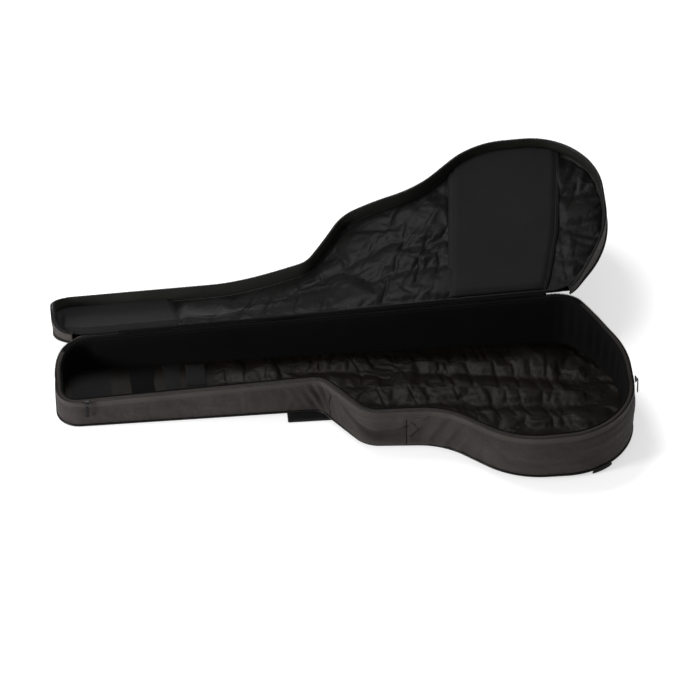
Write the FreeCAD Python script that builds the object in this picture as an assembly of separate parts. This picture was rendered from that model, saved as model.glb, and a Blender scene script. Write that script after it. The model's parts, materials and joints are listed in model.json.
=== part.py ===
"""Padded gig bag for an acoustic guitar, lying on its back with the lid folded open.

X runs along the straight hinge side (the spine) towards the tail, Y towards the hinge side, Z up.
The origin is the middle of the tray's plan, on the surface the bag lies on.
Everything on the lid is built closed and then turned about the hinge line to its open place.
"""
import FreeCAD, Part
import math
import os

V = FreeCAD.Vector
os.makedirs("parts", exist_ok=True)

# ---- driving dimensions (mm) -------------------------------------------------------------
spine_y = 195.0            # the straight hinge side
head_x = -555.0            # head end
tail_x = 542.0             # tail end
neck_y_head = 33.0         # near side of the neck at the head
neck_y_heel = 38.0         # near side of the neck at the heel
heel_x = -52.0             # where the neck ends
upper_bout_x = 28.0
upper_bout_y = -64.0
waist_x = 178.0
waist_y = -72.0
lower_bout_x = 300.0
lower_bout_y = -187.0
tail_flat_y = 75.0         # where the tail starts to slant back to the hinge side
tail_slant = 96.0          # how far the slant comes in before it meets the hinge side
tail_radius = 142.0        # round of the lower bout

taper = 0.0433             # rise of the hinge line per unit of length, head to tail
hinge_height = 120.6       # hinge line above the floor at x = 0
rim_depth = 28.0           # how far the zip lies below the hinge line on the zip side
hinge_head_gap = 125.0     # the cloth hinge and the spine wall start this far from the head end
hinge_tail_gap = 140.0     # and stop this far from the tail end
ramp_start = 100.0         # from this y the zip climbs to the hinge line

lift = 10.0                # underside of the back above the floor
shell = 2.0                # outer cloth
back_foam_thick = 12.0
wall_foam_thick = 10.0
lining = 1.5
lid_foam_thick = 14.0
rim_thick = 6.0            # gusset round the lid
hinge_setback = 9.0        # lid edge stays this far from the hinge line, so that it can fold right back
hinge_cloth = 1.2

body_open_angle = 171.0    # how far the body part of the lid is folded back
neck_open_angle = 202.0    # how far the neck part of the lid droops
lid_split_x = -90.0        # between the two parts of the lid
split_gap = 1.5

tape_thick = 1.0
tape_width = 14.0
tooth_reach = 2.2          # teeth stand out of the wall by this
tooth_height = 1.3
zip_gap = 3.0              # between tray wall and lid rim, filled by the two rows of teeth
piping = 3.0
piping_height = 4.0
patch = 1.2

slider_clearance = 0.8
slider_thick = 5.0
slider_length = 16.0
slider_height = 11.0
slider_below = 4.0
pull_length = 34.0
pull_width = 8.0
pull_thick = 2.2
pull_gap = 0.6
head_slider_x = -500.0

handle_x = 110.0           # middle of the carry handle
handle_span = 160.0        # between its two anchors
handle_drop = 43.0
handle_pivot_z = 80.0
handle_gap = 0.8
grip_radius = 11.0
web_width = 25.0
web_thick = 2.2

strap_width = 60.0
strap_thick = 8.0
strap_length = 376.0
strap_gap = 1.0
yoke_x = -8.0
yoke_length = 50.0

# ---- values worked out from the driving dimensions ---------------------------------------
tail_corner_x = tail_x - tail_slant
hinge_start = head_x + hinge_head_gap
hinge_end = tail_x - hinge_tail_gap
tail_slider_y = lower_bout_y + tail_radius
axis = V(1.0, 0.0, taper)
axis.normalize()
hinge_point = V(0.0, spine_y, hinge_height)
zip_height = hinge_height - rim_depth
wall_top = hinge_height - zip_gap
floor_top = lift + shell + back_foam_thick + lining
wall_in = shell + wall_foam_thick
cavity_in = wall_in + lining
panel_top = shell + lid_foam_thick + shell
teeth_end_y = spine_y - 14.0
far = 700.0
high = 400.0

# corners of the plan, in order round the bag, with the radius of each
corners = [
    (head_x, spine_y, 75.0),
    (head_x, neck_y_head, 42.0),
    (heel_x, neck_y_heel, 90.0),
    (upper_bout_x, upper_bout_y, 90.0),
    (waist_x, waist_y, 150.0),
    (lower_bout_x, lower_bout_y, 170.0),
    (tail_x, lower_bout_y, tail_radius),
    (tail_x, tail_flat_y, 230.0),
    (tail_corner_x, spine_y, 70.0),
]


def write(name, shape):
    """One node, as one file of solids."""
    shape.exportStep("parts/" + name + ".step")


def crossing(p, d, q, e):
    """Where the line from p along d meets the line from q along e."""
    t = ((q.x - p.x) * e.y - (q.y - p.y) * e.x) / (d.x * e.y - d.y * e.x)
    return p + d * t


def outline(inset=0.0):
    """The plan as a wire of lines and tangent arcs, moved inwards by inset."""
    count = len(corners)
    points = [V(x, y, 0.0) for x, y, _ in corners]
    sides = []
    for i in range(count):
        along = points[(i + 1) % count] - points[i]
        along.normalize()
        inward = V(-along.y, along.x, 0.0)
        sides.append((points[i] + inward * inset, along))
    starts, ends, arcs = [], [], []
    for i in range(count):
        p, d = sides[i - 1]
        q, e = sides[i]
        corner = crossing(p, d, q, e)
        turn = math.atan2(d.x * e.y - d.y * e.x, d.dot(e))
        radius = corners[i][2] - (inset if turn > 0 else -inset)
        reach = radius * math.tan(abs(turn) / 2.0)
        first = corner - d * reach
        last = corner + e * reach
        bisector = e - d
        bisector.normalize()
        centre_distance = radius / math.cos(turn / 2.0)
        middle = corner + bisector * (centre_distance - radius)
        starts.append(first)
        ends.append(last)
        arcs.append(Part.Arc(first, middle, last).toShape())
    edges = []
    for i in range(count):
        edges.append(arcs[i])
        edges.append(Part.LineSegment(ends[i], starts[(i + 1) % count]).toShape())
    return Part.Wire(edges)


def block(x0, x1, y0, y1, z0, z1):
    return Part.makeBox(x1 - x0, y1 - y0, z1 - z0, V(x0, y0, z0))


def plate(inset, z0, z1):
    """A flat slab with the bag's plan."""
    shape = Part.Face(outline(inset)).extrude(V(0, 0, z1 - z0))
    shape.translate(V(0, 0, z0))
    return shape


def ring(outer, inner, z0, z1):
    """An upright wall between two insets of the plan."""
    return plate(outer, z0, z1).cut(plate(inner, z0 - 1.0, z1 + 1.0))


def along_taper(profile):
    """Solid swept along the tapering bag from a list of (y, z at x = 0) points."""
    drop = taper * far
    points = [V(-far, y, z - drop) for y, z in profile]
    face = Part.Face(Part.makePolygon(points + points[:1]))
    return face.extrude(V(2 * far, 0, 2 * drop))


def under_zip(low, top):
    """All below the surface of the zip, which climbs from low to top on the hinge side."""
    return along_taper([(-far, -high), (far, -high), (far, top), (teeth_end_y, top), (ramp_start, low), (-far, low)])


def over_zip(low, top):
    return along_taper([(-far, high), (far, high), (far, top), (teeth_end_y, top), (ramp_start, low), (-far, low)])


def slab(low, top, y0=-far, y1=far):
    """All between two planes parallel to the hinge line."""
    return along_taper([(y0, low), (y1, low), (y1, top), (y0, top)])


def spine_zone():
    return block(hinge_start, hinge_end, spine_y - cavity_in, spine_y + 20.0, -1.0, high)


def lid_half(side):
    """Half space on one side of the split across the lid, square to the hinge line."""
    x = lid_split_x + side * split_gap / 2.0
    lean = taper * high
    edge = [V(x + lean, -far, -high), V(x - lean, -far, high), V(side * far, -far, high), V(side * far, -far, -high)]
    return Part.Face(Part.makePolygon(edge + edge[:1])).extrude(V(0, 2 * far, 0))


def opened(shape, angle):
    """Turns a closed piece of the lid about the hinge line to its open place."""
    shape = shape.copy()
    shape.rotate(hinge_point, axis, -angle)
    return shape


def write_lid(body_name, neck_name, closed):
    """A layer of the lid, cut in two at the split."""
    write(body_name, opened(closed.common(lid_half(1)), body_open_angle))
    write(neck_name, opened(closed.common(lid_half(-1)), neck_open_angle))


def sector(outward_0, outward_1, angle_0, angle_1, z0, z1):
    """Piece of an upright ring round the lower bout, between two angles in degrees."""
    centre = V(tail_x - tail_radius, lower_bout_y + tail_radius, z0)
    turn = angle_1 - angle_0
    outer = Part.makeCylinder(tail_radius + outward_1, z1 - z0, centre, V(0, 0, 1), turn)
    inner = Part.makeCylinder(tail_radius + outward_0, z1 - z0 + 2.0, centre - V(0, 0, 1.0), V(0, 0, 1))
    shape = outer.cut(inner)
    shape.rotate(centre, V(0, 0, 1), angle_0)
    return shape


# ---- tray --------------------------------------------------------------------------------
def tray_panels():
    write("back_shell", plate(0.0, lift, lift + shell))
    write("back_foam", plate(shell, lift + shell, floor_top - lining))
    write("back_lining", plate(wall_in, floor_top - lining, floor_top))
    write("back_piping", ring(-piping, 0.0, lift, lift + piping_height))


def tray_walls():
    under = under_zip(zip_height, wall_top)
    layers = [
        ("shell", 0.0, shell, lift + shell),
        ("foam", shell, wall_in, floor_top - lining),
        ("lining", wall_in, cavity_in, floor_top),
    ]
    for name, outer, inner, bottom in layers:
        wall = ring(outer, inner, bottom, high).common(under)
        write("side_" + name, wall.cut(spine_zone()))
        write("spine_" + name, wall.common(spine_zone()))
    strip = block(hinge_start, hinge_end, spine_y - cavity_in, spine_y, 0.0, high)
    write("hinge_fabric", strip.common(slab(wall_top, wall_top + hinge_cloth)))


def tray_zip():
    before_hinge = block(-far, far, -far, teeth_end_y, 0.0, high)
    band = ring(-tape_thick, 0.0, lift, high).common(under_zip(zip_height, wall_top))
    band = band.cut(under_zip(zip_height - tape_width, wall_top - tape_width))
    write("zip_tape_lower", band.common(before_hinge))
    row = ring(-tooth_reach, tape_thick, lift, high)
    row = row.common(under_zip(zip_height + tooth_height, wall_top + tooth_height))
    row = row.common(over_zip(zip_height, wall_top))
    write("zip_teeth_lower", row.common(before_hinge))


def floor_patches():
    inside = plate(cavity_in + 2.0, floor_top, floor_top + patch)
    places = [
        ("head_floor_patch", head_x, head_x + 121.0),
        ("nut_floor_patch", head_x + 135.0, head_x + 201.0),
        ("neck_floor_pad", head_x + 203.0, head_x + 247.0),
    ]
    for name, x0, x1 in places:
        write(name, inside.common(block(x0, x1, -far, far, 0.0, high)))


def neck_strap():
    x0, x1, y0, y1 = -303.0, -265.0, 62.0, 174.0
    flap_length = 58.0
    write("neck_strap_base", block(x0, x1, y0, y1, floor_top, floor_top + 2.0))
    write("neck_strap_flap", block(x0, x1, y1 - 6.0 - flap_length, y1 - 6.0, floor_top + 2.5, floor_top + 4.5))


def bumpers():
    trim = plate(-piping - 0.2, lift, lift + piping_height + 0.2)
    wrap = 5.0
    foot = sector(-20.0, wrap, -78.0, -44.0, 0.0, lift)
    skirt = sector(0.0, wrap, -78.0, -44.0, lift, 34.0).cut(trim)
    write("tail_bumper", foot.fuse(skirt).removeSplitter())
    for name, x0 in (("spine_bumper_head", -330.0), ("spine_bumper_tail", 260.0)):
        foot = block(x0, x0 + 100.0, spine_y - 25.0, spine_y + wrap, 0.0, lift)
        skirt = block(x0, x0 + 100.0, spine_y, spine_y + wrap, lift, 34.0).cut(trim)
        write(name, foot.fuse(skirt).removeSplitter())
    write("neck_foot", block(-520.0, -400.0, 56.0, 172.0, 0.0, lift))


def carry_handle():
    pivot_y = spine_y + shell + handle_gap + web_thick / 2.0
    left = handle_x - handle_span / 2.0
    right = handle_x + handle_span / 2.0
    half = web_width / 2.0
    for name, x in (("left", left), ("right", right)):
        write("handle_anchor_" + name, block(x - 18.0, x + 18.0, spine_y, spine_y + shell, 52.0, 96.0))
        low = handle_pivot_z - handle_drop
        web = block(x - half, x + half, pivot_y - web_thick / 2.0, pivot_y + web_thick / 2.0, low, handle_pivot_z + web_thick / 2.0)
        write("handle_web_" + name, web)
    centre = V(left + 5.0, pivot_y + web_thick / 2.0 + grip_radius, handle_pivot_z - handle_drop)
    write("handle_grip", Part.makeCylinder(grip_radius, handle_span - 10.0, centre, V(1, 0, 0)))


def shoulder_straps():
    top = lift - strap_gap
    write("strap_yoke", block(yoke_x, yoke_x + yoke_length, -12.0, 182.0, 0.0, lift))
    start = yoke_x + yoke_length + 2.0
    end = start + strap_length
    for name, y in (("near", -25.0), ("far", 135.0)):
        y0 = y - strap_width / 2.0
        y1 = y + strap_width / 2.0
        pad = block(start, end, y0, y1, top - strap_thick, top)
        corners_of_end = [edge for edge in pad.Edges if edge.Length == strap_thick and edge.CenterOfMass.x > end - 1.0]
        write("shoulder_strap_" + name, pad.makeFillet(22.0, corners_of_end))
        write("strap_buckle_" + name, block(end + 4.0, end + 34.0, y - 17.0, y + 17.0, top - 7.0, top - 2.0))
        web = block(end, end + 60.0, y - web_width / 2.0, y + web_width / 2.0, top - 1.8, top)
        write("strap_web_" + name, web)
    write("back_support_pad", block(60.0, 400.0, 12.0, 98.0, 2.0, lift))


# ---- main zip sliders --------------------------------------------------------------------
def tail_slider():
    inner = tooth_reach + slider_clearance
    half = math.degrees(slider_length / 2.0 / tail_radius)
    z = zip_height + taper * tail_x
    write("tail_zip_slider", sector(inner, inner + slider_thick, -half, half, z - slider_below, z + slider_height - slider_below))
    x = tail_x + inner + slider_thick + pull_gap
    y0 = tail_slider_y - pull_width / 2.0
    write("tail_zip_pull", block(x, x + pull_thick, y0, y0 + pull_width, z + 2.0 - pull_length, z + 2.0))


def head_slider():
    run = V(heel_x - head_x, neck_y_heel - neck_y_head, 0.0)
    heading = math.degrees(math.atan2(run.y, run.x))
    y = neck_y_head + (head_slider_x - head_x) * run.y / run.x
    z = zip_height + taper * head_slider_x
    inner = tooth_reach + slider_clearance
    half = slider_length / 2.0
    body = block(-half, half, -inner - slider_thick, -inner, -slider_below, slider_height - slider_below)
    front = -inner - slider_thick - pull_gap
    pull = block(-pull_width / 2.0, pull_width / 2.0, front - pull_thick, front, 2.0 - pull_length, 2.0)
    for name, shape in (("head_zip_slider", body), ("head_zip_pull", pull)):
        if shape is body:
            shape.rotate(V(0, 0, 0), V(0, 1, 0), -math.degrees(math.atan(taper)))
        shape.rotate(V(0, 0, 0), V(0, 0, 1), heading)
        shape.translate(V(head_slider_x, y, z))
        write(name, shape)


# ---- lid ---------------------------------------------------------------------------------
def lid_panels():
    reach = spine_y - hinge_setback
    bottom = hinge_height
    for name, thick in (("lining", shell), ("foam", lid_foam_thick), ("shell", shell)):
        layer = plate(0.0, 0.0, high).common(slab(bottom, bottom + thick, -far, reach))
        write_lid("lid_" + name, "neck_lid_" + name, layer)
        bottom = bottom + thick


def lid_rim():
    low = zip_height + zip_gap
    before_hinge = block(-far, far, -far, teeth_end_y, 0.0, high)
    over = over_zip(low, hinge_height)
    below_panel = slab(-high, hinge_height)
    wall = ring(0.0, rim_thick, 0.0, high).common(over).common(below_panel)
    write_lid("lid_rim", "neck_rim", wall.common(before_hinge))
    band = ring(-tape_thick, 0.0, 0.0, high).common(over)
    band = band.cut(over_zip(low + tape_width, hinge_height + tape_width))
    write_lid("zip_tape_upper", "neck_zip_tape", band.common(before_hinge))
    row = ring(-tooth_reach, tape_thick, 0.0, high).common(over_zip(low - tooth_height, hinge_height - tooth_height))
    row = row.common(under_zip(low, hinge_height))
    write_lid("zip_teeth_upper", "neck_zip_teeth", row.common(before_hinge))
    top = hinge_height + panel_top
    cord = ring(-piping, 0.0, 0.0, high).common(slab(top - piping_height, top))
    write_lid("lid_piping", "neck_lid_piping", cord.common(before_hinge))


def lid_guards():
    inside = plate(rim_thick + 3.0, 0.0, high).common(slab(hinge_height - patch, hinge_height, -far, spine_y - 22.0))
    bridge = inside.common(block(226.0, 456.0, -far, far, 0.0, high))
    write("bridge_guard", opened(bridge, body_open_angle))
    headstock = inside.common(block(-far, -312.0, -far, far, 0.0, high))
    write("headstock_guard", opened(headstock, neck_open_angle))


def pocket():
    top = hinge_height + panel_top
    x0, x1, y0, y1 = 245.0, 450.0, -110.0, 60.0
    panel_thick = 5.0
    tape = 1.0
    zip_y = y1 - 22.0
    shapes = {}
    panel = block(x0, x1, y0, y1, 0.0, high)
    uprights = [edge for edge in panel.Edges if abs(edge.Length - high) < 0.01]
    shapes["pocket_panel"] = panel.makeFillet(24.0, uprights).common(slab(top, top + panel_thick))
    level = top + panel_thick
    shapes["pocket_zip_tape"] = block(x0 + 8, x1 - 8, zip_y - 9, zip_y + 9, 0.0, high).common(slab(level, level + tape))
    level = level + tape
    shapes["pocket_zip_teeth"] = block(x0 + 10, x1 - 10, zip_y - 2, zip_y + 2, 0.0, high).common(slab(level, level + 1.2))
    level = level + 1.2 + slider_clearance
    shapes["pocket_zip_slider"] = block(x0 + 14, x0 + 28, zip_y - 5, zip_y + 5, 0.0, high).common(slab(level, level + 3.5))
    shapes["pocket_zip_pull"] = block(x0 + 30, x0 + 62, zip_y - 3, zip_y + 3, 0.0, high).common(slab(level + 1.0, level + 3.0))
    for name, shape in shapes.items():
        write(name, opened(shape, body_open_angle))


tray_panels()
tray_walls()
tray_zip()
floor_patches()
neck_strap()
bumpers()
carry_handle()
shoulder_straps()
tail_slider()
head_slider()
lid_panels()
lid_rim()
lid_guards()
pocket()
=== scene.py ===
# %% [markdown]
# # A padded gig bag, lying open
# The bag is a deep padded tray and a padded lid that share one straight sewn hinge. The packed
# CAD model gives the frame: where every part is and how it moves. Here each soft part gets the
# shape that cloth has, and every surface gets the finish of the real material.

import json
import math

import bpy
import numpy as np
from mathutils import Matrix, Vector


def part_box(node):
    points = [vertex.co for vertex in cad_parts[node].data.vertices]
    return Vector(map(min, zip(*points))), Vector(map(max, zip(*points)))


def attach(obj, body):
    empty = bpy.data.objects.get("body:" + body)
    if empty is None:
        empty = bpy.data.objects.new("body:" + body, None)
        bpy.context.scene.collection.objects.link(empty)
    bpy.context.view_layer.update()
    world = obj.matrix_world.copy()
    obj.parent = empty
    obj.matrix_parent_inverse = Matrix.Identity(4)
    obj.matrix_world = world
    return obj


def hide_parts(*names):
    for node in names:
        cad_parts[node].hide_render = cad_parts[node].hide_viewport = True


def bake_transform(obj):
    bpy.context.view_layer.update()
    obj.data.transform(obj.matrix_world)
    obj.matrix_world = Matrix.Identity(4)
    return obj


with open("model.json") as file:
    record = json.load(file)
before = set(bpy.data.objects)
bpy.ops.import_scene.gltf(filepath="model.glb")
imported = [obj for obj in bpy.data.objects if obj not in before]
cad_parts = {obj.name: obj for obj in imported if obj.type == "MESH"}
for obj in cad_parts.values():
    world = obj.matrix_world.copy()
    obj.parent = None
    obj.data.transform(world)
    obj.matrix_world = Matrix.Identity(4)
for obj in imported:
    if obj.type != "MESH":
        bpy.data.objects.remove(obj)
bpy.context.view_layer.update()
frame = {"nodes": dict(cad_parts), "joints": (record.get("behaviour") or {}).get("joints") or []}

# %% [markdown]
# ## Camera
# The camera comes first, because everything after it is judged through it. A long lens from far
# away keeps the straight hinge line straight and shows the tray and the lid at one scale.

# %% Camera
camera_target = Vector((0.0214, 0.2080, 0.010))
camera_distance = 10.4
camera_azimuth = math.radians(-5.0)
camera_height = math.radians(41.3)
camera_way = Vector((
    math.sin(camera_azimuth) * math.cos(camera_height),
    -math.cos(camera_azimuth) * math.cos(camera_height),
    math.sin(camera_height),
))
camera_data = bpy.data.cameras.new("camera")
camera_data.lens = 273.8
camera_data.clip_end = 50.0
camera = bpy.data.objects.new("camera", camera_data)
bpy.context.collection.objects.link(camera)
camera.location = camera_target + camera_way * camera_distance
camera.rotation_euler = (-camera_way).to_track_quat("-Z", "Y").to_euler()
bpy.context.scene.camera = camera
print("camera at", tuple(round(c, 3) for c in camera.location))

# %% [markdown]
# ## The plan of the bag
# Every soft part follows one outline: a straight hinge side, a square head, a narrow neck and the
# two rounds of the guitar's body. It could be drawn by hand as a curve, but tray, lid, piping and
# zip all have to agree, so it is a short list of corners, each with a radius, turned into evenly
# spaced points with their outward directions. Any layer is then the same points moved in or out.

# %% Measures shared by all the soft parts, in metres
mm = 0.001
corners = [
    (-555.0, 195.0, 75.0),
    (-555.0, 33.0, 42.0),
    (-50.0, 38.0, 34.0),
    (28.0, -70.0, 56.0),
    (176.0, -80.0, 150.0),
    (300.0, -187.0, 170.0),
    (542.0, -187.0, 142.0),
    (542.0, 75.0, 230.0),
    (446.0, 195.0, 70.0),
]
hinge_joint = next(joint for joint in frame["joints"] if joint["name"] == "lid_fold")
hinge_point = np.array(hinge_joint["pos_m"])
hinge_axis = np.array(hinge_joint["axis"]) / np.linalg.norm(hinge_joint["axis"])
taper = hinge_axis[2] / hinge_axis[0]
hinge_y = hinge_point[1]
floor_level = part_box("back_lining")[1][2]
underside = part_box("back_shell")[0][2]
cavity_inset = 13.5 * mm
rim_depth = 28.0 * mm
zip_gap = 3.0 * mm
ramp = (0.095, 0.183)
body_fold = math.radians(171.0)
neck_fold = math.radians(202.0)
bend_start = 0.20
bend_end = -0.245


# %% Outline points
def outline(step):
    """Points round the plan, their outward directions and the distance along, from the head corner."""
    count = len(corners)
    places = np.array([corner[:2] for corner in corners]) * mm
    points, normals = [], []
    for i in range(count):
        before = places[i] - places[i - 1]
        after = places[(i + 1) % count] - places[i]
        d = before / np.linalg.norm(before)
        e = after / np.linalg.norm(after)
        turn = math.atan2(d[0] * e[1] - d[1] * e[0], d @ e)
        radius = corners[i][2] * mm
        reach = radius * math.tan(abs(turn) / 2)
        side = math.copysign(1.0, turn)
        centre = places[i] - d * reach + side * radius * np.array([-d[1], d[0]])
        for k in np.linspace(0, 1, max(3, int(radius * abs(turn) / step)) + 1):
            a = turn * k
            heading = np.array([
                d[0] * math.cos(a) - d[1] * math.sin(a), d[0] * math.sin(a) + d[1] * math.cos(a)
            ])
            outward = np.array([heading[1], -heading[0]])
            points.append(centre + side * radius * outward)
            normals.append(outward)
        turn_next = corners[(i + 1) % count]
        after_next = places[(i + 2) % count] - places[(i + 1) % count]
        f = after_next / np.linalg.norm(after_next)
        bend = math.atan2(e[0] * f[1] - e[1] * f[0], e @ f)
        reach_next = turn_next[2] * mm * math.tan(abs(bend) / 2)
        start = places[i] + e * reach
        end = places[(i + 1) % count] - e * reach_next
        run = np.linalg.norm(end - start)
        for k in np.linspace(0, 1, max(2, int(run / step)) + 1)[1:-1]:
            points.append(start + (end - start) * k)
            normals.append(np.array([e[1], -e[0]]))
    points = np.array(points)
    normals = np.array(normals)
    along = np.concatenate([[0], np.cumsum(np.linalg.norm(np.diff(points, axis=0), axis=1))])
    return points, normals, along


rim_points, rim_normals, rim_along = outline(4.0 * mm)
print("round the plan:", round(float(rim_along[-1]), 3), "m in", len(rim_points), "points")


# %% Heights
def smooth(edge0, edge1, value):
    t = np.clip((value - edge0) / (edge1 - edge0), 0.0, 1.0)
    return t * t * (3.0 - 2.0 * t)


def hinge_level(x):
    """Height of the hinge plane above the floor."""
    return hinge_point[2] + taper * x


def zip_level(x, y):
    """Height of the tray's rim: it climbs to the hinge line at both ends of the hinge."""
    return hinge_level(x) - zip_gap - (rim_depth - zip_gap) * (1.0 - smooth(ramp[0], ramp[1], y))


def cloud(u, v, seed):
    """Smooth noise from -1 to 1, about one bump for each unit of u and v."""
    table = np.random.default_rng(seed).uniform(-1, 1, (97, 89))
    i = np.floor(u).astype(int)
    j = np.floor(v).astype(int)
    f = u - i
    g = v - j
    f = f * f * (3 - 2 * f)
    g = g * g * (3 - 2 * g)
    a = table[i % 97, j % 89]
    b = table[(i + 1) % 97, j % 89]
    c = table[i % 97, (j + 1) % 89]
    d = table[(i + 1) % 97, (j + 1) % 89]
    return (a * (1 - f) + b * f) * (1 - g) + (c * (1 - f) + d * f) * g


def fold_lid(points):
    """Turns closed lid points about the hinge line: level at the body, drooping at the neck."""
    rel = points - hinge_point
    along = rel @ hinge_axis
    angle = -(
        body_fold + (neck_fold - body_fold)
        * smooth(0.0, 1.0, (bend_start - along) / (bend_start - bend_end))
    )
    cos, sin = np.cos(angle)[:, None], np.sin(angle)[:, None]
    cross = np.cross(np.broadcast_to(hinge_axis, rel.shape), rel)
    return hinge_point + rel * cos + cross * sin + np.outer(along, hinge_axis) * (1 - cos)


# %% [markdown]
# ## Mesh tools
# A cloth surface is a grid of points with quads between them. The same three tools make all of
# them: one joins a grid, one gives the cloth its thickness and smooth shading, and one lays the
# plan out in columns from the near edge to the hinge side, for floors and lid panels.

# %% Grid tools
def grid_mesh(name, grid, material, around=False, across=False, flip=False):
    """A piece from an array of points, rows x columns x 3. around joins the last column to the first."""
    rows, columns = grid.shape[:2]
    index = np.arange(rows * columns).reshape(rows, columns)
    if around:
        index = np.concatenate([index, index[:, :1]], axis=1)
    if across:
        index = np.concatenate([index, index[:1]], axis=0)
    faces = np.stack(
        [index[:-1, :-1], index[:-1, 1:], index[1:, 1:], index[1:, :-1]], axis=-1
    ).reshape(-1, 4)
    if flip:
        faces = faces[:, ::-1]
    mesh = bpy.data.meshes.new(name)
    mesh.from_pydata(grid.reshape(-1, 3).tolist(), [], faces.tolist())
    mesh.materials.append(material)
    mesh.polygons.foreach_set("use_smooth", [True] * len(mesh.polygons))
    piece = bpy.data.objects.new(name, mesh)
    bpy.context.collection.objects.link(piece)
    return piece


def only(piece):
    """Selects one piece and nothing else, in object mode."""
    bpy.ops.object.select_all(action="DESELECT")
    piece.select_set(True)
    bpy.context.view_layer.objects.active = piece


def thicken(piece, thickness, offset=-1.0):
    """Gives a sheet its thickness on the inner side, with closed edges."""
    only(piece)
    solid = piece.modifiers.new("thickness", "SOLIDIFY")
    solid.thickness = thickness
    solid.offset = offset
    solid.use_even_offset = False
    bpy.ops.object.modifier_apply(modifier=solid.name)
    return piece


def edge_of_plan(inset, x):
    """Near and far y of the plan at each x, for the plan moved in by inset."""
    moved = rim_points - rim_normals * inset
    head = int(np.argmin(moved[:, 0] + 0.001 * moved[:, 1]))
    tail = int(np.argmax(moved[:, 0] - 0.001 * moved[:, 1]))
    count = len(moved)
    near = moved[[(head + k) % count for k in range((tail - head) % count + 1)]]
    far = moved[[(tail + k) % count for k in range((head - tail) % count + 1)]][::-1]
    near = near[np.argsort(near[:, 0], kind="stable")]
    far = far[np.argsort(far[:, 0], kind="stable")]
    return np.interp(x, near[:, 0], near[:, 1]), np.interp(x, far[:, 0], far[:, 1])


def plan_grid(inset, cell, far_limit=1.0):
    """Columns of points over the plan: x and y arrays, rows x columns."""
    x0 = rim_points[:, 0].min() + inset
    x1 = rim_points[:, 0].max() - inset
    columns = int((x1 - x0) / cell)
    x = np.linspace(x0 + 0.2 * mm, x1 - 0.2 * mm, columns)
    near, far = edge_of_plan(inset, x)
    far = np.minimum(far, far_limit)
    near = np.minimum(near, far - 1 * mm)
    rows = int((far.max() - near.min()) / cell / 1.35)
    v = np.linspace(0, 1, rows)[:, None]
    return np.broadcast_to(x, (rows, columns)).copy(), near + (far - near) * v


# %% [markdown]
# ## Materials
# The outside is a woven polyester in a warm dark grey, the inside a thin satin with a soft sheen,
# and the band along the hinge a matt black lining cloth. Weave is fine, so it is drawn as bump and
# a slight change of colour; wrinkles and quilting are real geometry.

# %% Material tools
def linear(hexa):
    """An sRGB hex colour as linear values."""
    values = [int(hexa[i:i + 2], 16) / 255 for i in (1, 3, 5)]
    return [v / 12.92 if v <= 0.04045 else ((v + 0.055) / 1.055) ** 2.4 for v in values] + [1.0]


def add(tree, kind, settings=None, links=None):
    """Adds a node. settings are properties or input values, links are inputs fed by (node, output)."""
    node = tree.nodes.new(kind)
    for key, value in (settings or {}).items():
        if isinstance(key, int) or key in node.inputs:
            node.inputs[key].default_value = value
        else:
            setattr(node, key, value)
    for key, (source, output) in (links or {}).items():
        tree.links.new(source.outputs[output], node.inputs[key])
    return node


def new_material(name, roughness, sheen=0.0, specular=0.5, metallic=0.0):
    """An empty material: the shader, with all constant values on its own sockets."""
    material = bpy.data.materials.new(name)
    material.use_nodes = True
    tree = material.node_tree
    shader = tree.nodes["Principled BSDF"]
    shader.inputs["Roughness"].default_value = roughness
    shader.inputs["Sheen Weight"].default_value = sheen
    shader.inputs["Sheen Roughness"].default_value = 0.4
    shader.inputs["Specular IOR Level"].default_value = specular
    shader.inputs["Metallic"].default_value = metallic
    return material, tree, shader


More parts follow.
